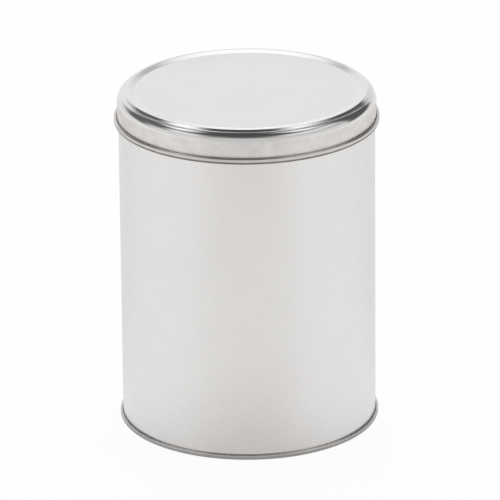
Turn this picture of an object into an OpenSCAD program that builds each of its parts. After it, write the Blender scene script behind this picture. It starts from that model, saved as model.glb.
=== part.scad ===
// Round slip-lid tin, about one litre, in bare tinplate.
// The body is a rolled and welded cylinder with a false-wire curl round its mouth.
// Its base is a separate end, locked on with a double seam, and the lid slips over the mouth.
// Millimetres, +Z up, origin at the middle of the circle that the tin stands on.

/* [Body] */
// Outer diameter of the body
body_diameter = 99; // [70:1:160]
// Overall height, from the base to the crest of the lid's bead
tin_height = 134; // [80:1:260]
// Thickness of the tinplate
sheet = 0.28; // [0.22:0.01:0.32]
// Middle radius of the false wire curled into the mouth
mouth_curl_r = 0.8; // [0.6:0.05:1.2]

/* [Base] */
// Height of the double seam
seam_height = 1.9; // [1.8:0.1:2.6]
// Height of the groove inside the seam, from the base to its roof
base_groove_height = 4.6; // [3.8:0.1:6]
// Height of the flat middle of the base
base_panel_height = 3.0; // [2:0.1:3.4]
// Height of the shallow step in the base panel
base_step = 0.6; // [0.3:0.1:0.8]

/* [Lid] */
// Gap between the body and the inside of the lid's skirt
lid_gap = 0.2; // [0.15:0.05:0.6]
// Depth of the lid, from the bottom of its curl to the crest of its bead
lid_depth = 12.6; // [10:0.2:24]
// Depth of the flat lid panel below the crest of the bead
panel_recess = 0.75; // [0.5:0.05:1]
// Depth of the ledge outside the bead, below the crest
ledge_drop = 0.75; // [0.6:0.05:0.9]
// Drop from the crest to the corner where the shoulder meets the skirt
shoulder_drop = 3.5; // [3.3:0.1:4.2]
// Width of the rolled edge at the bottom of the skirt
rolled_edge_width = 1.5; // [1.3:0.1:2]
// Height of the rolled edge
rolled_edge_height = 2.3; // [2:0.1:2.6]

/* [Side weld] */
// Width of the welded lap at the back of the body
weld_width = 0.9; // [0.6:0.1:1.4]
// How far the welded lap stands out of the body
weld_rise = 0.08; // [0.04:0.01:0.12]

/* [Hidden] */

$fn = 128;
tin = "#d3d1ce";
compound_grey = "#6d6f6c";
half_sheet = sheet / 2;

// Largest turn, in degrees, between two neighbouring flats in a bend
bend_facet = 10;

// Stations closer than this are one point
same_point = 0.001;

// Middle radii of the layers of sheet in the double seam, from the inside out
seam_layer_gap = 0.07;
seam_pitch = sheet + seam_layer_gap;
body_mid_r = body_diameter / 2 - half_sheet;
chuck_wall_r = body_mid_r - sheet;
end_hook_r = body_mid_r + seam_pitch;
body_hook_r = body_mid_r + 2 * seam_pitch;
seam_wall_r = body_mid_r + 3 * seam_pitch;

// Heights of the seam's bends and of the free edges of its two hooks
seam_flat = 0.2;
seam_bend_r = (seam_wall_r - chuck_wall_r - seam_flat) / 2;
body_turn_z = half_sheet + sheet;
end_turn_z = seam_height - half_sheet;
end_hook_gap = 0.5;
body_hook_gap = 0.5;
end_hook_tip_z = body_turn_z + end_hook_gap;
body_hook_tip_z = end_turn_z - body_hook_gap;

// The compound stops short of the hooks' edges, and of the round insides of the bends
compound_clearance = 0.02;
compound_bend_gap = 0.08;

// Base panel: a groove inside the seam, and a raised ring between the groove and the middle
groove_width = 2.3;
groove_lean = 0.4;
groove_bend_r = 0.9;
groove_foot_bend_r = 0.5;
ring_margin = 2.8;
ring_run = 1.2;
ring_bend_r = 1.2;
ring_in_share = 0.7;

// The welded lap stops short of the seam and of the mouth's curl
weld_low_gap = 0.4;
weld_high_gap = 0.6;

// Lid heights, from the crest down
crest_z = tin_height - half_sheet;
panel_z = crest_z - panel_recess;
ledge_z = crest_z - ledge_drop;
brow_z = tin_height - shoulder_drop;
rolled_edge_z = tin_height - lid_depth + half_sheet;
rolled_top_z = rolled_edge_z + rolled_edge_height - sheet;

// Lid radii, from the skirt in
ledge_run = 1.05;
bead_outer_run = 0.84;
bead_top_run = 0.62;
panel_slope = 14.7;
ledge_slope = 23;
shoulder_slope = 58.4;
skirt_r = body_diameter / 2 + lid_gap + half_sheet;
shoulder_z = ledge_z - ledge_run * tan(ledge_slope);
shoulder_r = skirt_r - (shoulder_z - brow_z) / tan(shoulder_slope);
ledge_r = shoulder_r - ledge_run;
crest_out_r = ledge_r - bead_outer_run;
crest_in_r = crest_out_r - bead_top_run;
panel_r = crest_in_r - panel_recess / tan(panel_slope);
rolled_edge_r = skirt_r + rolled_edge_width - sheet;

// Lid bends, as middle radii
panel_bend_r = 2.5;
crest_in_bend_r = 3.6;
crest_out_bend_r = 0.35;
ledge_bend_r = 0.44;
shoulder_bend_r = 3.1;
brow_bend_r = 4.4;
rolled_bend_r = (rolled_edge_width - sheet) / 2;
tuck_gap = 0.06;
tucked_r = skirt_r + sheet + tuck_gap;
tuck_bend_r = (rolled_edge_r - tucked_r) / 2;
tuck_length = 0.8;

// The mouth's curl stops just short of the inside of the bend above the skirt
mouth_gap = 0.1;
mouth_curl_centre_r = body_mid_r - mouth_curl_r;
brow_centre_z = brow_z - brow_bend_r * tan((90 - shoulder_slope) / 2);
mouth_reach = brow_bend_r - sheet - mouth_curl_r - mouth_gap;
mouth_offset_r = mouth_curl_centre_r - (skirt_r - brow_bend_r);
mouth_centre_z = brow_centre_z + sqrt(mouth_reach ^ 2 - mouth_offset_r ^ 2);
mouth_z = mouth_centre_z + mouth_curl_r;

// --- Sheet-metal profiles -------------------------------------------------------------------
// A profile is a list of corners [radius, height, bend radius] along the middle of the sheet,
// in the half plane right of the axis. The bend radius is the sheet's middle radius there.
// A station is a point on the middle line, with the direction to the sheet's left face.

function point(corner) = [corner[0], corner[1]];
function heading(a, b) = (point(b) - point(a)) / norm(point(b) - point(a));
function left_of(u) = [-u[1], u[0]];
function turned(u, angle) =
    [u[0] * cos(angle) - u[1] * sin(angle), u[0] * sin(angle) + u[1] * cos(angle)];
function turn_between(u, v) = atan2(u[0] * v[1] - u[1] * v[0], u * v);

// Stations round one corner, from the end of the run before it to the start of the run after
function bend_stations(corner, u, v) =
    let (
        angle = turn_between(u, v),
        side = sign(angle),
        start = point(corner) - corner[2] * tan(abs(angle) / 2) * u,
        centre = start + side * corner[2] * left_of(u),
        steps = max(1, ceil(abs(angle) / bend_facet))
    )
    [for (k = [0 : steps])
        let (normal = turned(left_of(u), angle * k / steps))
        [centre - side * corner[2] * normal, normal]];

// Stations along a whole profile, each one once
function stations(corners) =
    let (
        last = len(corners) - 1,
        all = [for (i = [0 : last]) each
            i == 0 ? [[point(corners[0]), left_of(heading(corners[0], corners[1]))]]
            : i == last ? [[point(corners[last]), left_of(heading(corners[last - 1], corners[last]))]]
            : bend_stations(corners[i], heading(corners[i - 1], corners[i]),
                            heading(corners[i], corners[i + 1]))]
    )
    [for (i = [0 : len(all) - 1]) if (i == 0 || norm(all[i][0] - all[i - 1][0]) > same_point) all[i]];

// Sheet of even thickness that follows the corners, spun round the tin's axis
module spun(corners) {
    line = stations(corners);
    last = len(line) - 1;
    rotate_extrude()
        polygon([
            for (i = [0 : last]) line[i][0] + half_sheet * line[i][1],
            for (i = [last : -1 : 0]) line[i][0] - half_sheet * line[i][1],
        ]);
}

// --- Pieces ---------------------------------------------------------------------------------

// Rolled body: mouth curl, straight wall, and the hook that the base end is folded round
module body_shell() {
    curl_in_r = body_mid_r - 2 * mouth_curl_r;
    curl_low_z = mouth_z - 2 * mouth_curl_r;
    color(tin) {
        spun([
            [mouth_curl_centre_r, curl_low_z, 0],
            [curl_in_r, curl_low_z, mouth_curl_r],
            [curl_in_r, mouth_z, mouth_curl_r],
            [body_mid_r, mouth_z, mouth_curl_r],
            [body_mid_r, body_turn_z, seam_pitch],
            [body_hook_r, body_turn_z, seam_pitch],
            [body_hook_r, body_hook_tip_z, 0],
        ]);
        side_weld();
    }
}

// Welded lap that closes the rolled sheet, at the back
module side_weld() {
    weld_angle = weld_width / body_mid_r * 180 / PI;
    weld_low_z = seam_height + weld_low_gap;
    weld_high_z = mouth_centre_z - weld_high_gap;
    rotate(90 - weld_angle / 2)
        rotate_extrude(angle = weld_angle)
            translate([body_mid_r, weld_low_z])
                square([half_sheet + weld_rise, weld_high_z - weld_low_z]);
}

// Stamped base: stepped panel, groove, chuck wall inside the body, and the outside of the seam
module bottom_end() {
    groove_z = base_groove_height - half_sheet;
    panel_low_z = base_panel_height + half_sheet;
    panel_high_z = panel_low_z + base_step;
    groove_in_r = chuck_wall_r - groove_width;
    groove_foot_r = groove_in_r - groove_lean;
    ring_in_r = body_mid_r * ring_in_share;
    ring_out_r = groove_foot_r - ring_margin;
    color(tin)
        spun([
            [0, panel_low_z, 0],
            [ring_in_r, panel_low_z, ring_bend_r],
            [ring_in_r + ring_run, panel_high_z, ring_bend_r],
            [ring_out_r - ring_run, panel_high_z, ring_bend_r],
            [ring_out_r, panel_low_z, ring_bend_r],
            [groove_foot_r, panel_low_z, groove_foot_bend_r],
            [groove_in_r, groove_z, groove_bend_r],
            [chuck_wall_r, groove_z, groove_bend_r],
            [chuck_wall_r, half_sheet, seam_bend_r],
            [seam_wall_r, half_sheet, seam_bend_r],
            [seam_wall_r, end_turn_z, seam_pitch],
            [end_hook_r, end_turn_z, seam_pitch],
            [end_hook_r, end_hook_tip_z, 0],
        ]);
}

// Sealing compound in the two hollows left inside the double seam
module seam_compound() {
    lower_z = body_turn_z + half_sheet + compound_bend_gap;
    upper_z = end_turn_z - half_sheet - compound_bend_gap;
    color(compound_grey)
        rotate_extrude() {
            compound_bead(end_hook_r, lower_z, end_hook_tip_z - compound_clearance);
            compound_bead(body_hook_r, body_hook_tip_z + compound_clearance, upper_z);
        }
}

// One bead of compound, as thick as the sheet whose edge it seals
module compound_bead(middle_r, low_z, high_z) {
    translate([middle_r - half_sheet, low_z])
        square([sheet, high_z - low_z]);
}

// Stamped lid: recessed panel, bead, ledge, shoulder, skirt and outward rolled edge
module lid() {
    color(tin)
        spun([
            [0, panel_z, 0],
            [panel_r, panel_z, panel_bend_r],
            [crest_in_r, crest_z, crest_in_bend_r],
            [crest_out_r, crest_z, crest_out_bend_r],
            [ledge_r, ledge_z, ledge_bend_r],
            [shoulder_r, shoulder_z, shoulder_bend_r],
            [skirt_r, brow_z, brow_bend_r],
            [skirt_r, rolled_edge_z, rolled_bend_r],
            [rolled_edge_r, rolled_edge_z, rolled_bend_r],
            [rolled_edge_r, rolled_top_z, tuck_bend_r],
            [tucked_r, rolled_top_z, tuck_bend_r],
            [tucked_r, rolled_top_z - tuck_length, 0],
        ]);
}

body_shell();
bottom_end();
seam_compound();
lid();
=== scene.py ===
"""Looks of a round slip-lid tin in bare tinplate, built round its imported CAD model.

The tin stands on the origin with +Z up. Sizes are in millimetres unless a comment says
otherwise, and meshes are made in metres.
"""

import math

import bpy
from mathutils import Matrix, Vector


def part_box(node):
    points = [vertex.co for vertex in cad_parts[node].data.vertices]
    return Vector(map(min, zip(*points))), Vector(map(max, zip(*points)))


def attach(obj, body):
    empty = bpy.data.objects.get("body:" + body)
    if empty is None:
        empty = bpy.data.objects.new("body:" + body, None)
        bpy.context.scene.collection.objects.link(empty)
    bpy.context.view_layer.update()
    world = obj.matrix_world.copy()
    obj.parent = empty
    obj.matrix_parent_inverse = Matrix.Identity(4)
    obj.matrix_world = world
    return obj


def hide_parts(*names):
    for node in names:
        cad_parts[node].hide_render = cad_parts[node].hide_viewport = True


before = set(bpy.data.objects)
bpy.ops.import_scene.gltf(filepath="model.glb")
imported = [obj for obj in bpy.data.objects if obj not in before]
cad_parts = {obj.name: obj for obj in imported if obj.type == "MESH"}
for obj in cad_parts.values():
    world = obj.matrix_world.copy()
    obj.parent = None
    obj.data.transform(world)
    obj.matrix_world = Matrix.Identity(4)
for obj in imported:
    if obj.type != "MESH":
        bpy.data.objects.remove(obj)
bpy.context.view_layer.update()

MM = 0.001

# --- Sizes of the sheet metal, as in the CAD source -------------------------------------------

SHEET = 0.28
HALF = SHEET / 2
MOUTH_CURL_R = 0.8
SEAM_HEIGHT = 1.9
SEAM_PITCH = SHEET + 0.07  # a layer of the double seam and the gap beside it
BASE_GROOVE_HEIGHT = 4.6
BASE_PANEL_HEIGHT = 3.0
BASE_STEP = 0.6
LID_GAP = 0.2
LID_DEPTH = 12.6
PANEL_RECESS = 0.75
LEDGE_DROP = 0.75
SHOULDER_DROP = 3.5
ROLLED_EDGE_WIDTH = 1.5
ROLLED_EDGE_HEIGHT = 2.3
WELD_WIDTH = 0.9
WELD_RISE = 0.08

TIN_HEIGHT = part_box("lid")[1].z / MM
SKIRT_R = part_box("lid")[1].x / MM - ROLLED_EDGE_WIDTH + HALF
BODY_R = SKIRT_R - HALF - LID_GAP

# Double seam: middle radii of its layers of sheet, and heights of its bends and hooks
BODY_MID_R = BODY_R - HALF
CHUCK_WALL_R = BODY_MID_R - SHEET
END_HOOK_R = BODY_MID_R + SEAM_PITCH
BODY_HOOK_R = BODY_MID_R + 2 * SEAM_PITCH
SEAM_WALL_R = BODY_MID_R + 3 * SEAM_PITCH
SEAM_FLAT = 0.2
SEAM_BEND_R = (SEAM_WALL_R - CHUCK_WALL_R - SEAM_FLAT) / 2
HOOK_CLEARANCE = 0.5
BODY_TURN_Z = HALF + SHEET
END_TURN_Z = SEAM_HEIGHT - HALF
END_HOOK_TIP_Z = BODY_TURN_Z + HOOK_CLEARANCE
BODY_HOOK_TIP_Z = END_TURN_Z - HOOK_CLEARANCE

# Base, from its groove in to the ring round its middle
GROOVE_Z = BASE_GROOVE_HEIGHT - HALF
PANEL_LOW_Z = BASE_PANEL_HEIGHT + HALF
PANEL_HIGH_Z = PANEL_LOW_Z + BASE_STEP
GROOVE_IN_R = CHUCK_WALL_R - 2.3
GROOVE_FOOT_R = GROOVE_IN_R - 0.4
RING_OUT_R = GROOVE_FOOT_R - 2.8
RING_IN_R = BODY_MID_R * 0.7
RING_RUN = 1.2

# Lid: heights from the crest down, and radii from the skirt in. Slopes are in degrees.
CREST_Z = TIN_HEIGHT - HALF
PANEL_Z = CREST_Z - PANEL_RECESS
LEDGE_Z = CREST_Z - LEDGE_DROP
BROW_Z = TIN_HEIGHT - SHOULDER_DROP
BROW_BEND_R = 4.4
SHOULDER_SLOPE = 58.4
LEDGE_SLOPE = 23
LEDGE_RUN = 1.05
CREST_FALL_RUN = 0.84
CREST_RUN = 0.62
PANEL_SLOPE = 14.7
SHOULDER_Z = LEDGE_Z - LEDGE_RUN * math.tan(math.radians(LEDGE_SLOPE))
SHOULDER_R = SKIRT_R - (SHOULDER_Z - BROW_Z) / math.tan(math.radians(SHOULDER_SLOPE))
LEDGE_R = SHOULDER_R - LEDGE_RUN
CREST_OUT_R = LEDGE_R - CREST_FALL_RUN
CREST_IN_R = CREST_OUT_R - CREST_RUN
PANEL_R = CREST_IN_R - PANEL_RECESS / math.tan(math.radians(PANEL_SLOPE))

# Rolled edge of the lid, tucked in against the outside of the skirt
TUCK_GAP = 0.06
TUCK_LENGTH = 0.8
ROLLED_EDGE_Z = TIN_HEIGHT - LID_DEPTH + HALF
ROLLED_TOP_Z = ROLLED_EDGE_Z + ROLLED_EDGE_HEIGHT - SHEET
ROLLED_EDGE_R = SKIRT_R + ROLLED_EDGE_WIDTH - SHEET
ROLLED_BEND_R = (ROLLED_EDGE_WIDTH - SHEET) / 2
TUCKED_R = SKIRT_R + SHEET + TUCK_GAP
TUCK_BEND_R = (ROLLED_EDGE_R - TUCKED_R) / 2

# The mouth's curl stops just short of the inside of the bend above the skirt
MOUTH_GAP = 0.1
MOUTH_CENTRE_R = BODY_MID_R - MOUTH_CURL_R
BROW_CENTRE_Z = BROW_Z - BROW_BEND_R * math.tan(
    math.radians((90 - SHOULDER_SLOPE) / 2)
)
MOUTH_REACH = BROW_BEND_R - SHEET - MOUTH_CURL_R - MOUTH_GAP
MOUTH_CENTRE_Z = BROW_CENTRE_Z + math.sqrt(
    MOUTH_REACH**2 - (MOUTH_CENTRE_R - (SKIRT_R - BROW_BEND_R)) ** 2
)
MOUTH_Z = MOUTH_CENTRE_Z + MOUTH_CURL_R

# --- Profiles: corners [radius, height, bend radius] along the middle of the sheet -------------

BODY_PROFILE = [
    [MOUTH_CENTRE_R, MOUTH_Z - 2 * MOUTH_CURL_R, 0],
    [BODY_MID_R - 2 * MOUTH_CURL_R, MOUTH_Z - 2 * MOUTH_CURL_R, MOUTH_CURL_R],
    [BODY_MID_R - 2 * MOUTH_CURL_R, MOUTH_Z, MOUTH_CURL_R],
    [BODY_MID_R, MOUTH_Z, MOUTH_CURL_R],
    [BODY_MID_R, BODY_TURN_Z, SEAM_PITCH],
    [BODY_HOOK_R, BODY_TURN_Z, SEAM_PITCH],
    [BODY_HOOK_R, BODY_HOOK_TIP_Z, 0],
]

END_PROFILE = [
    [0, PANEL_LOW_Z, 0],
    [RING_IN_R, PANEL_LOW_Z, RING_RUN],
    [RING_IN_R + RING_RUN, PANEL_HIGH_Z, RING_RUN],
    [RING_OUT_R - RING_RUN, PANEL_HIGH_Z, RING_RUN],
    [RING_OUT_R, PANEL_LOW_Z, RING_RUN],
    [GROOVE_FOOT_R, PANEL_LOW_Z, 0.5],
    [GROOVE_IN_R, GROOVE_Z, 0.9],
    [CHUCK_WALL_R, GROOVE_Z, 0.9],
    [CHUCK_WALL_R, HALF, SEAM_BEND_R],
    [SEAM_WALL_R, HALF, SEAM_BEND_R],
    [SEAM_WALL_R, END_TURN_Z, SEAM_PITCH],
    [END_HOOK_R, END_TURN_Z, SEAM_PITCH],
    [END_HOOK_R, END_HOOK_TIP_Z, 0],
]

LID_PROFILE = [
    [0, PANEL_Z, 0],
    [PANEL_R, PANEL_Z, 2.5],
    [CREST_IN_R, CREST_Z, 3.6],
    [CREST_OUT_R, CREST_Z, 0.35],
    [LEDGE_R, LEDGE_Z, 0.44],
    [SHOULDER_R, SHOULDER_Z, 3.1],
    [SKIRT_R, BROW_Z, BROW_BEND_R],
    [SKIRT_R, ROLLED_EDGE_Z, ROLLED_BEND_R],
    [ROLLED_EDGE_R, ROLLED_EDGE_Z, ROLLED_BEND_R],
    [ROLLED_EDGE_R, ROLLED_TOP_Z, TUCK_BEND_R],
    [TUCKED_R, ROLLED_TOP_Z, TUCK_BEND_R],
    [TUCKED_R, ROLLED_TOP_Z - TUCK_LENGTH, 0],
]

# --- Lathe --------------------------------------------------------------------------------------

BEND_FACET = 5  # degrees of bend between two rings
LONGEST_RUN = 9  # a straight run is split into parts no longer than this
SHORTEST_RUN = 1e-3  # a straight run shorter than this is left out
ON_AXIS = 1e-6  # a point nearer the axis than this is one vertex, not a ring
SAME_PLACE = 5  # decimals to which two points are the same
SEGMENTS = 192  # round the axis


def left_of(u):
    return Vector((-u.y, u.x))


def stations(corners):
    """Points on the middle of the sheet, each with the direction to the sheet's left face."""
    spots = [Vector(c[:2]) for c in corners]
    first = (spots[1] - spots[0]).normalized()
    made = [(spots[0], left_of(first))]

    def run_to(end, normal):
        start = made[-1][0]
        length = (end - start).length
        parts = max(1, math.ceil(length / LONGEST_RUN))
        if length > SHORTEST_RUN:
            made.extend(
                (start.lerp(end, k / parts), normal) for k in range(1, parts + 1)
            )

    for before, corner, after, (_, _, bend) in zip(
        spots, spots[1:], spots[2:], corners[1:]
    ):
        u, v = (corner - before).normalized(), (after - corner).normalized()
        angle = math.atan2(u.x * v.y - u.y * v.x, u.dot(v))
        side = math.copysign(1, angle)
        start = corner - bend * math.tan(abs(angle) / 2) * u
        centre = start + side * bend * left_of(u)
        run_to(start, left_of(u))
        steps = max(1, math.ceil(math.degrees(abs(angle)) / BEND_FACET))
        for k in range(1, steps + 1):
            normal = left_of(u)
            normal.rotate(Matrix.Rotation(angle * k / steps, 2))
            made.append((centre - side * bend * normal, normal))
    last = (spots[-1] - spots[-2]).normalized()
    run_to(spots[-1], left_of(last))
    return made


def outline(corners):
    """Edges ((point, normal), (point, normal)) of the sheet's closed outline.

    The normals are exact at both ends of an edge, so a bend shades as a true curve.
    """
    line = stations(corners)
    left = [(p + HALF * n, n) for p, n in line]
    right = [(p - HALF * n, -n) for p, n in reversed(line)]
    tip = (line[-1][0] - line[-2][0]).normalized()
    edges = list(zip(left, left[1:]))
    edges.append(((left[-1][0], tip), (right[0][0], tip)))
    edges.extend(zip(right, right[1:]))
    if corners[0][0] > 0:
        tail = (line[0][0] - line[1][0]).normalized()
        edges.append(((right[-1][0], tail), (left[0][0], tail)))
    return edges


def new_object(name, data):
    made = bpy.data.objects.new(name, data)
    bpy.context.scene.collection.objects.link(made)
    return made


def spun(name, corners):
    """A sheet-metal piece of even thickness, spun round the axis, with exact smooth normals."""
    rings, verts, faces, normals = {}, [], [], []
    turns = [2 * math.pi * j / SEGMENTS for j in range(SEGMENTS)]
    turn = [(math.cos(t), math.sin(t)) for t in turns]

    def ring(p):
        key = (round(p.x, SAME_PLACE), round(p.y, SAME_PLACE))
        if key not in rings:
            start = len(verts)
            if p.x < ON_AXIS:
                verts.append((0, 0, p.y * MM))
                rings[key] = [start] * SEGMENTS
            else:
                verts.extend((p.x * MM * c, p.x * MM * s, p.y * MM) for c, s in turn)
                rings[key] = list(range(start, start + SEGMENTS))
        return rings[key]

    for (p, n), (q, m) in outline(corners):
        a, b = ring(p), ring(q)
        for j in range(SEGMENTS):
            k = (j + 1) % SEGMENTS
            around = [(a[j], n, j), (b[j], m, j), (b[k], m, k), (a[k], n, k)]
            if a[j] == a[k]:
                del around[3]
            if b[j] == b[k]:
                del around[2]
            faces.append([i for i, _, _ in around])
            for _, v, t in around:
                normals.append((v.x * turn[t][0], v.x * turn[t][1], v.y))
    mesh = bpy.data.meshes.new(name)
    mesh.from_pydata(verts, [], faces)
    mesh.shade_smooth()
    mesh.normals_split_custom_set(normals)
    mesh.update()
    return new_object(name, mesh)


# --- Materials ----------------------------------------------------------------------------------

WHITE = (1, 1, 1, 1)


class Nodes:
    """Short calls for building one node tree."""

    def __init__(self, tree):
        self.tree = tree
        self.tree.nodes.clear()

    def add(self, kind, inputs=None, **settings):
        node = self.tree.nodes.new(kind)
        for key, value in settings.items():
            setattr(node, key, value)
        for key, value in (inputs or {}).items():
            if isinstance(value, bpy.types.NodeSocket):
                self.tree.links.new(value, node.inputs[key])
            else:
                node.inputs[key].default_value = value
        return node

    def math(self, operation, a, b=0.0, c=0.0):
        return self.add(
            "ShaderNodeMath", {0: a, 1: b, 2: c}, operation=operation
        ).outputs[0]

    def times(self, a, b):
        """Product of two vectors or colours, part by part."""
        return self.add(
            "ShaderNodeVectorMath", {0: a, 1: b}, operation="MULTIPLY"
        ).outputs[0]

    def scaled(self, vector, factor):
        return self.add(
            "ShaderNodeVectorMath", {0: vector, "Scale": factor}, operation="SCALE"
        ).outputs[0]

    def length(self, vector):
        return self.add(
            "ShaderNodeVectorMath", {0: vector}, operation="LENGTH"
        ).outputs["Value"]

    def ramp(self, value, low, high, out_low=0.0, out_high=1.0):
        """value from low..high to out_low..out_high, eased and held at both ends."""
        return self.add(
            "ShaderNodeMapRange",
            {0: value, 1: low, 2: high, 3: out_low, 4: out_high},
            interpolation_type="SMOOTHSTEP",
        ).outputs[0]

    def fade(self, value, low, high):
        """1 below low, falling to 0 above high."""
        return self.ramp(value, low, high, 1.0, 0.0)

    def band(self, value, low, high, soft):
        """1 between low and high, falling to 0 over softness at both ends."""
        rise = self.ramp(value, low - soft, low + soft)
        fall = self.fade(value, high - soft, high + soft)
        return self.math("MULTIPLY", rise, fall)

    def mix(self, factor, a, b):
        return self.add("ShaderNodeMix", {0: factor, 2: a, 3: b}).outputs[0]

    def mix_colour(self, factor, a, b):
        return self.add(
            "ShaderNodeMix", {0: factor, 6: a, 7: b}, data_type="RGBA"
        ).outputs[2]

    def noise(self, vector, scale, detail, roughness):
        return self.add(
            "ShaderNodeTexNoise",
            {
                "Vector": vector,
                "Scale": scale,
                "Detail": detail,
                "Roughness": roughness,
            },
        ).outputs["Fac"]

    def coordinates(self, kind="Object"):
        return self.add("ShaderNodeTexCoord").outputs[kind]

    def axes(self, vector):
        return self.add("ShaderNodeSeparateXYZ", {0: vector}).outputs

    def bump(self, height, strength, distance, under=None):
        """Relief of a height pattern, distance metres high, on top of the relief under it."""
        inputs = {"Strength": strength, "Distance": distance, "Height": height}
        if under is not None:
            inputs["Normal"] = under
        return self.add("ShaderNodeBump", inputs).outputs[0]

    def surface(self, colour, roughness, relief, metallic=1.0):
        shader = self.add(
            "ShaderNodeBsdfPrincipled",
            {
                "Base Color": colour,
                "Metallic": metallic,
                "Roughness": roughness,
                "Normal": relief,
            },
        )
        self.add("ShaderNodeOutputMaterial", {"Surface": shader.outputs[0]})


def new_material(name):
    material = bpy.data.materials.new(name)
    material.use_nodes = True
    return material, Nodes(material.node_tree)


# Tinplate. A noise pattern is (scale, detail, roughness), and a stretch scales each axis of
# the object's coordinates for it. Scales and stretches are per metre. EDGES are the levels of
# noise between which a mark grows to full strength, and a relief is (strength, height in
# metres).
TONE = (0.832, 0.822, 0.815, 1)
DULL_TONE = (0.812, 0.801, 0.793, 1)
AROUND = (60.0, 60.0, 4200.0)
ACROSS = (45.0, 3800.0, 45.0)
GRAIN = (1.0, 4.0, 0.6)
BLOOM = (85.0, 4.0, 0.55)
WAVES = (55.0, 1.0, 0.4)
SMUDGES = (24.0, 3.0, 0.6)
SMUDGE_EDGES = (0.52, 0.74)
SCRATCH_STRETCH = (130.0, 2600.0, 420.0)
SCRATCHES = (1.0, 2.0, 0.4)
SCRATCH_EDGES = (0.7, 0.76)
SCRATCH_PATCHES = (38.0, 2.0, 0.5)
PATCH_EDGES = (0.5, 0.62)
SCRATCH_TONE = (0.92, 0.92, 0.92, 1)
SCRATCH_TINT = 0.35
GRAIN_SHARE = 0.4
BLOOM_SHARE = 0.6
SHADE_EDGES = (0.3, 0.7)
NOISE_MIDDLE = 0.5
BLOOM_ROUGH = 0.06
GRAIN_ROUGH = 0.06
SMUDGE_ROUGH = 0.03
SCRATCH_ROUGH = 0.08
GRAIN_RELIEF = (0.13, 0.000012)
WAVE_RELIEF = (0.5, 0.00005)

# Dulled parts, and parts with painted shade, are blotchy: their tone is scaled by these levels
BLOTCHES = (160.0, 3.0, 0.6)
BLOTCH_LEVELS = (0.94, 1.05)
RADIUS_SOFT = 0.05

# Heat tint along the side weld, with distances in metres from the weld's middle
HEAT_NOISE = (700.0, 2.0, 0.5)
HEAT_RAGGED = 0.0012
HEAT_EDGES = (0.0009, 0.0036)
HEAT_TINT = 0.55
HEAT_TONE = (0.46, 0.44, 0.45, 1)

# The weld's steel, and the compound in the seam
PULSE_STRETCH = (120.0, 120.0, 1900.0)
PULSES = (1.0, 1.0, 0.4)
PULSE_SHARE = 0.6
WELD_MOTTLE = (1400.0, 3.0, 0.6)
MOTTLE_SHARE = 0.4
WELD_DARK = (0.34, 0.35, 0.38, 1)
WELD_LIGHT = (0.52, 0.51, 0.5, 1)
WELD_ROUGH = (0.36, 0.5)
WELD_RELIEF = (0.5, 0.00002)

COMPOUND_MOTTLE = (900.0, 3.0, 0.55)
COMPOUND_DARK = (0.13, 0.135, 0.13, 1)
COMPOUND_LIGHT = (0.19, 0.195, 0.19, 1)
COMPOUND_ROUGH = (0.55, 0.75)
COMPOUND_RELIEF = (0.4, 0.00003)


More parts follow.
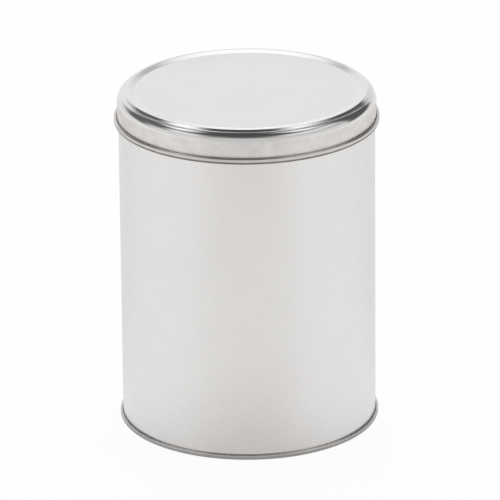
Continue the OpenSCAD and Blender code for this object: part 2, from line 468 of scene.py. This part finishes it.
def tinplate(name, roughness, grain, dull_and_shaded_parts=(), satin=None, heat_tint=False):
    """Bright tinplate: rolled grain, a faint bloom, handling smudges and hairline scratches.

    grain stretches the object's coordinates, and its lines run across the fast axis.
    dull_and_shaded_parts lists the parts of the piece with another tone and roughness, by
    height and lowest radius: parts dulled by working, and parts whose darker tone is painted
    shade. satin is the finish inside a radius. PANEL_SATIN and the parts of
    LID_DULL_AND_SHADE below show their fields.
    """
    material, n = new_material(name)
    place = n.coordinates()
    x, y, z = n.axes(place)
    radius = n.length(n.add("ShaderNodeCombineXYZ", {0: x, 1: y}).outputs[0])

    lines = n.noise(n.times(place, grain), *GRAIN)
    bloom = n.noise(place, *BLOOM)
    smudge = n.ramp(n.noise(place, *SMUDGES), *SMUDGE_EDGES)
    waves = n.noise(place, *WAVES)
    scratch_lines = n.noise(n.times(place, SCRATCH_STRETCH), *SCRATCHES)
    patches = n.ramp(n.noise(place, *SCRATCH_PATCHES), *PATCH_EDGES)
    scratch = n.math("MULTIPLY", n.ramp(scratch_lines, *SCRATCH_EDGES), patches)

    shade = n.math(
        "MULTIPLY_ADD", lines, GRAIN_SHARE, n.math("MULTIPLY", bloom, BLOOM_SHARE)
    )
    colour = n.mix_colour(n.ramp(shade, *SHADE_EDGES), DULL_TONE, TONE)
    scratched = n.math("MULTIPLY", scratch, SCRATCH_TINT)
    colour = n.mix_colour(scratched, colour, SCRATCH_TONE)

    centred = n.math("SUBTRACT", bloom, NOISE_MIDDLE)
    rough = n.math("MULTIPLY_ADD", centred, BLOOM_ROUGH, roughness)
    if satin:
        satin_r, soft, tone_kept, part_rough = satin
        share = n.fade(radius, (satin_r - soft) * MM, (satin_r + soft) * MM)
        colour = n.times(colour, n.mix_colour(share, WHITE, (*tone_kept, 1)))
        rough = n.mix(share, rough, part_rough)
    # Dulled parts, and parts with painted shade, scale the tone and change the roughness.
    for z_low, z_high, soft, r_low, tone_kept, part_rough in dull_and_shaded_parts:
        tall = n.band(z, z_low * MM, z_high * MM, soft * MM)
        out = n.ramp(radius, (r_low - RADIUS_SOFT) * MM, (r_low + RADIUS_SOFT) * MM)
        share = n.math("MULTIPLY", tall, out)
        blotches = n.ramp(n.noise(place, *BLOTCHES), *SHADE_EDGES, *BLOTCH_LEVELS)
        dull_and_shade_tone = n.scaled(tone_kept, blotches)
        colour = n.times(colour, n.mix_colour(share, WHITE, dull_and_shade_tone))
        rough = n.mix(share, rough, part_rough)
    if heat_tint:
        behind = n.math("GREATER_THAN", y, 0.0)
        ragged = n.math(
            "MULTIPLY_ADD",
            n.noise(place, *HEAT_NOISE),
            HEAT_RAGGED,
            n.math("ABSOLUTE", x),
        )
        near = n.math("MULTIPLY", n.fade(ragged, *HEAT_EDGES), behind)
        tinted = n.math("MULTIPLY", near, HEAT_TINT)
        colour = n.mix_colour(tinted, colour, HEAT_TONE)
    centred = n.math("SUBTRACT", lines, NOISE_MIDDLE)
    rough = n.math("MULTIPLY_ADD", centred, GRAIN_ROUGH, rough)
    rough = n.math("MULTIPLY_ADD", smudge, SMUDGE_ROUGH, rough)
    rough = n.math("MULTIPLY_ADD", scratch, SCRATCH_ROUGH, rough)

    relief = n.bump(lines, *GRAIN_RELIEF)
    relief = n.bump(waves, *WAVE_RELIEF, relief)
    n.surface(colour, rough, relief)
    return material


def weld_steel(name):
    """Resistance weld: squeezed dull steel, blue-grey from the heat, rippled by the pulses."""
    material, n = new_material(name)
    place = n.coordinates()
    mottle = n.noise(place, *WELD_MOTTLE)
    pulse = n.noise(n.times(place, PULSE_STRETCH), *PULSES)
    shade = n.math(
        "MULTIPLY_ADD", pulse, PULSE_SHARE, n.math("MULTIPLY", mottle, MOTTLE_SHARE)
    )
    colour = n.mix_colour(n.ramp(shade, *SHADE_EDGES), WELD_DARK, WELD_LIGHT)
    relief = n.bump(shade, *WELD_RELIEF)
    n.surface(colour, n.ramp(mottle, *SHADE_EDGES, *WELD_ROUGH), relief)
    return material


def sealing_compound(name):
    """Dull grey water-based compound, a little uneven."""
    material, n = new_material(name)
    mottle = n.noise(n.coordinates(), *COMPOUND_MOTTLE)
    colour = n.mix_colour(mottle, COMPOUND_DARK, COMPOUND_LIGHT)
    relief = n.bump(mottle, *COMPOUND_RELIEF)
    rough = n.ramp(mottle, *SHADE_EDGES, *COMPOUND_ROUGH)
    n.surface(colour, rough, relief, metallic=0.0)
    return material


# --- Pieces -------------------------------------------------------------------------------------

BODY_ROUGH = 0.27
END_ROUGH = 0.24
LID_ROUGH = 0.13

# Parts of a piece that drawing, curling or seaming has dulled, and parts whose darker tone is
# painted shade:
# (lowest z, highest z, softness, lowest radius, tone kept, roughness)
SKIRT_TOP = BROW_Z - 0.7
CURL_TOP = ROLLED_TOP_Z + HALF
CURL_FOOT = ROLLED_EDGE_Z - HALF
SKIRT_PART = (CURL_TOP, SKIRT_TOP, 0.35, 48, (0.97, 0.955, 0.938), 0.42)
CURL_PART = (CURL_FOOT, CURL_TOP, 0.1, 50.1, (0.79, 0.78, 0.77), 0.24)
# Painted shade: the underside of the lid's rolled edge is darkened in colour for the shade under
# the curl, with a rougher finish.
CURL_PAINTED_SHADE = (CURL_FOOT - 1, CURL_FOOT + 0.95, 0.2, 49, (0.36, 0.355, 0.35), 0.5)
LID_DULL_AND_SHADE = [SKIRT_PART, CURL_PART, CURL_PAINTED_SHADE]

# The satin panel, as (radius, softness, tone kept, roughness), ends where the sheet turns up
PANEL_SATIN = (PANEL_R - 0.7, 0.7, (1.096, 1.088, 1.1), 0.38)

SEAM_FACE_TOP = SEAM_HEIGHT - 0.45
# Painted shade: the seam's outer face is darkened in colour for the shaded floor at the tin's
# foot that it mirrors, and it is dulled to a rough finish.
SEAM_FACE = (-1, SEAM_FACE_TOP, 0.12, 49.55, (0.58, 0.575, 0.57), 0.56)
SEAM_SHOULDER = (SEAM_FACE_TOP, SEAM_HEIGHT + 1, 0.12, 49.55, (0.92, 0.91, 0.9), 0.4)
END_DULL_AND_SHADE = [SEAM_FACE, SEAM_SHOULDER]

# Side weld. Its section is in shares of WELD_WIDTH and WELD_RISE, and goes down into the
# sheet, so that the lap is a closed piece without a gap under it.
WELD_LOW = SEAM_HEIGHT + 0.4
WELD_HIGH = MOUTH_CENTRE_Z - 0.6
WELD_SINK = 0.01
WELD_SECTION = [
    (-0.5, 0.0),
    (-0.42, 0.75),
    (-0.2, 1.0),
    (0.2, 1.0),
    (0.42, 0.75),
    (0.5, 0.0),
    (0.5, -1.0),
    (-0.5, -1.0),
]
WELD_ROWS = 500
PULSE_PITCH = 0.95
RIPPLE = 0.12
SHARP_ANGLE = 50  # degrees between two faces of the weld, above which their edge is sharp


def weld_lap(name):
    """The raised lap of the side weld: rounded across, with a ripple along it."""
    verts, faces = [], []
    for i in range(WELD_ROWS + 1):
        z = WELD_LOW + (WELD_HIGH - WELD_LOW) * i / WELD_ROWS
        ripple = 1 + RIPPLE * math.cos(2 * math.pi * (z - WELD_LOW) / PULSE_PITCH)
        for share, rise in WELD_SECTION:
            if i in (0, WELD_ROWS) and rise > 0:
                rise = 0.0
            turn = math.pi / 2 - share * WELD_WIDTH / BODY_R
            r = (BODY_R - WELD_SINK + WELD_RISE * rise * ripple) * MM
            verts.append((r * math.cos(turn), r * math.sin(turn), z * MM))
    count = len(WELD_SECTION)
    for i in range(WELD_ROWS):
        for j in range(count):
            a, b = i * count + j, i * count + (j + 1) % count
            faces.append((a, a + count, b + count, b))
    faces.append(tuple(range(count)))
    faces.append(tuple(WELD_ROWS * count + j for j in reversed(range(count))))
    mesh = bpy.data.meshes.new(name)
    mesh.from_pydata(verts, [], faces)
    mesh.shade_smooth()
    mesh.set_sharp_from_angle(angle=math.radians(SHARP_ANGLE))
    mesh.update()
    return new_object(name, mesh)


body = spun("can_body", BODY_PROFILE)
weld = weld_lap("can_weld")
end = spun("can_end", END_PROFILE)
lid = spun("slip_lid", LID_PROFILE)

body_tinplate = tinplate("body_tinplate", BODY_ROUGH, AROUND, heat_tint=True)
end_tinplate = tinplate("end_tinplate", END_ROUGH, ACROSS, END_DULL_AND_SHADE)
lid_tinplate = tinplate("lid_tinplate", LID_ROUGH, ACROSS, LID_DULL_AND_SHADE, PANEL_SATIN)
body.data.materials.append(body_tinplate)
weld.data.materials.append(weld_steel("weld_steel"))
end.data.materials.append(end_tinplate)
lid.data.materials.append(lid_tinplate)

for piece, carrier, node, slot in (
    (body, "can", "body_shell", "body_tinplate"),
    (end, "can", "bottom_end", "end_tinplate"),
    (lid, "lid", "lid", "lid_tinplate"),
):
    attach(piece, carrier)
    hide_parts(node)
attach(weld, "can")
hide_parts("body_shell")

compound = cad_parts["seam_compound"]
compound.data.materials.clear()
compound.data.materials.append(sealing_compound("sealing_compound"))

# --- Camera: place and clipping in metres, angles in degrees, lens in millimetres ---------------

CAMERA_PLACE = (0.0, -2.0790, 0.87363)
CAMERA_YAW = 0.0219
CAMERA_PITCH = -21.2
CAMERA_ROLL = -0.5435
LENS = 412.9
SENSOR = 36.0
CLIP_START = 0.05
CLIP_END = 100.0

camera_data = bpy.data.cameras.new("camera")
camera_data.sensor_width = SENSOR
camera_data.lens = LENS
camera_data.clip_start = CLIP_START
camera_data.clip_end = CLIP_END
camera = new_object("camera", camera_data)
bpy.context.scene.camera = camera
yaw, pitch, roll = (math.radians(a) for a in (CAMERA_YAW, CAMERA_PITCH, CAMERA_ROLL))
forward = Vector(
    (math.sin(yaw) * math.cos(pitch), math.cos(yaw) * math.cos(pitch), math.sin(pitch))
)
level_right = forward.cross(Vector((0, 0, 1))).normalized()
level_up = level_right.cross(forward)
right = math.cos(roll) * level_right + math.sin(roll) * level_up
up = math.cos(roll) * level_up - math.sin(roll) * level_right
turn = Matrix((right, up, -forward)).transposed().to_4x4()
camera.matrix_world = Matrix.Translation(CAMERA_PLACE) @ turn

# --- Floor --------------------------------------------------------------------------------------

FLOOR_HALF = 12.0  # metres
FLOOR_TONE = (0.87, 0.86, 0.85)
CAMERA_WHITE = 0.95  # share of plain white in what the camera sees of the floor
GLOSSY_WHITE = 0.6  # and in what reflections see
# What rays other than the camera's keep of the floor: less in front of the tin, where the
# camera stands, least close to its foot and far out there, and less at its sides.
# Angles are in degrees from the front, and reach is in metres from the axis.
FRONT_SHADE = (0.95, 0.944, 0.936)
FRONT_ANGLES = (15, 60)
FOOT_SHADE = (0.915, 0.895, 0.88)
FOOT_ANGLES = (6, 42)
FOOT_REACH = (0.055, 0.14)
FAR_SHADE = (0.88, 0.87, 0.86)
FAR_ANGLES = (12, 52)
FAR_REACH = (0.335, 0.4)
SIDE_SHADE = (0.92, 0.92, 0.92)
SIDE_ANGLES = (90, 135)

floor_mesh = bpy.data.meshes.new("floor")
floor_mesh.from_pydata(
    [
        (x * FLOOR_HALF, y * FLOOR_HALF, 0)
        for x, y in ((-1, -1), (1, -1), (1, 1), (-1, 1))
    ],
    [],
    [(0, 1, 2, 3)],
)
floor = new_object("floor", floor_mesh)

floor_material, n = new_material("floor_paper")
rays = n.add("ShaderNodeLightPath").outputs
seen = n.math("MAXIMUM", rays["Is Camera Ray"], rays["Is Transmission Ray"])
mirrored = n.math("MULTIPLY", rays["Is Glossy Ray"], GLOSSY_WHITE)
white_share = n.math("MULTIPLY_ADD", seen, CAMERA_WHITE, mirrored)
unseen = n.math("SUBTRACT", 1.0, rays["Is Camera Ray"])

place = n.coordinates()
x, y, _ = n.axes(place)
turned = n.math("ARCTAN2", x, n.math("MULTIPLY", y, -1.0))
off_front = n.math("ABSOLUTE", n.math("DEGREES", turned))
reach = n.length(place)
in_front = n.fade(off_front, *FRONT_ANGLES)
at_foot = n.math(
    "MULTIPLY", n.fade(off_front, *FOOT_ANGLES), n.fade(reach, *FOOT_REACH)
)
far_out = n.math("MULTIPLY", n.fade(off_front, *FAR_ANGLES), n.ramp(reach, *FAR_REACH))
beside = n.ramp(off_front, *SIDE_ANGLES)
shade = (1, 1, 1)
for where, tone_kept in (
    (in_front, FRONT_SHADE),
    (at_foot, FOOT_SHADE),
    (far_out, FAR_SHADE),
    (beside, SIDE_SHADE),
):
    share = n.math("MULTIPLY", where, unseen)
    shade = n.times(n.mix_colour(share, WHITE, (*tone_kept, 1)), shade)
paper = n.add("ShaderNodeBsdfDiffuse", {"Color": n.times(shade, FLOOR_TONE)})
white = n.add("ShaderNodeEmission", {"Color": shade, "Strength": 1.0})
mixed = n.add(
    "ShaderNodeMixShader", {0: white_share, 1: paper.outputs[0], 2: white.outputs[0]}
)
n.add("ShaderNodeOutputMaterial", {"Surface": mixed.outputs[0]})
floor_mesh.materials.append(floor_material)

# --- Surroundings -------------------------------------------------------------------------------
# The studio that the tin mirrors, by direction: azimuth 0 is behind the tin (+Y), 90 to its
# right (+X), and elevation is above the horizon, both in degrees. Each zone lies over the
# ones before it, and is (lowest azimuth, highest azimuth, lowest elevation, highest elevation,
# softness of its sides, softness of its top and bottom, strength).

CEILING = 0.08
ZONES = [
    (-181, 181, -91, 24, 8, 6, 0.78),
    (147, 217, -91, 39, 14, 7, 0.65),
    (-139, -99, 27, 38, 11, 10, 1.2),
    (71, 149, 27, 44, 14, 4, 0.83),
    (-36, 14, -91, 32, 7, 4.5, 0.92),
    (-2.5, 1.5, 1, 9, 1, 1.5, 1.7),
    (-28, 26, 42, 67, 2, 4, 1.22),
    (-19, 16, 35, 45, 14, 6, 1.25),
    (-44, -36, 21, 69, 3, 2, 1.2),
    (33, 40, 28, 67, 1.5, 1.5, 1.1),
    (-83, -41, 9, 55, 12, 2, 0.13),
    (37, 79, 6, 57, 4, 1.5, 0.1),
    (-105, -63, 49, 67, 14, 6, 1.3),
    (63, 112, 55, 72, 14, 14, 1.55),
]

world = bpy.data.worlds.new("studio")
bpy.context.scene.world = world
world.use_nodes = True
n = Nodes(world.node_tree)
x, y, z = n.axes(n.coordinates("Generated"))
azimuth = n.math("DEGREES", n.math("ARCTAN2", x, y))
elevation = n.math("DEGREES", n.math("ARCSINE", z))
level = CEILING
for az_low, az_high, el_low, el_high, az_soft, el_soft, strength in ZONES:
    share = n.band(elevation, el_low, el_high, el_soft)
    if az_high - az_low < 360:
        round_back = azimuth
        if az_high > 180:
            behind = n.math("LESS_THAN", azimuth, 0.0)
            round_back = n.math("MULTIPLY_ADD", behind, 360.0, azimuth)
        share = n.math("MULTIPLY", share, n.band(round_back, az_low, az_high, az_soft))
    level = n.mix(share, level, strength)
rays = n.add("ShaderNodeLightPath").outputs
studio = n.add("ShaderNodeBackground", {"Color": WHITE, "Strength": level})
backdrop = n.add("ShaderNodeBackground", {"Color": WHITE, "Strength": 1.0})
sky = n.add(
    "ShaderNodeMixShader",
    {0: rays["Is Camera Ray"], 1: studio.outputs[0], 2: backdrop.outputs[0]},
)
n.add("ShaderNodeOutputWorld", {"Surface": sky.outputs[0]})

# A soft light overhead, a little behind the tin, lights the floor. Its shadow falls towards
# the camera. Angles are in degrees.
SUN_STRENGTH = 1.75
SUN_ANGLE = 46
SUN_ELEVATION = 70

sun_data = bpy.data.lights.new("overhead", "SUN")
sun_data.energy = SUN_STRENGTH
sun_data.angle = math.radians(SUN_ANGLE)
sun = new_object("overhead", sun_data)
sun.rotation_euler = (math.radians(SUN_ELEVATION - 90), 0, 0)
sun.visible_glossy = False

bpy.context.scene.view_settings.view_transform = "Standard"
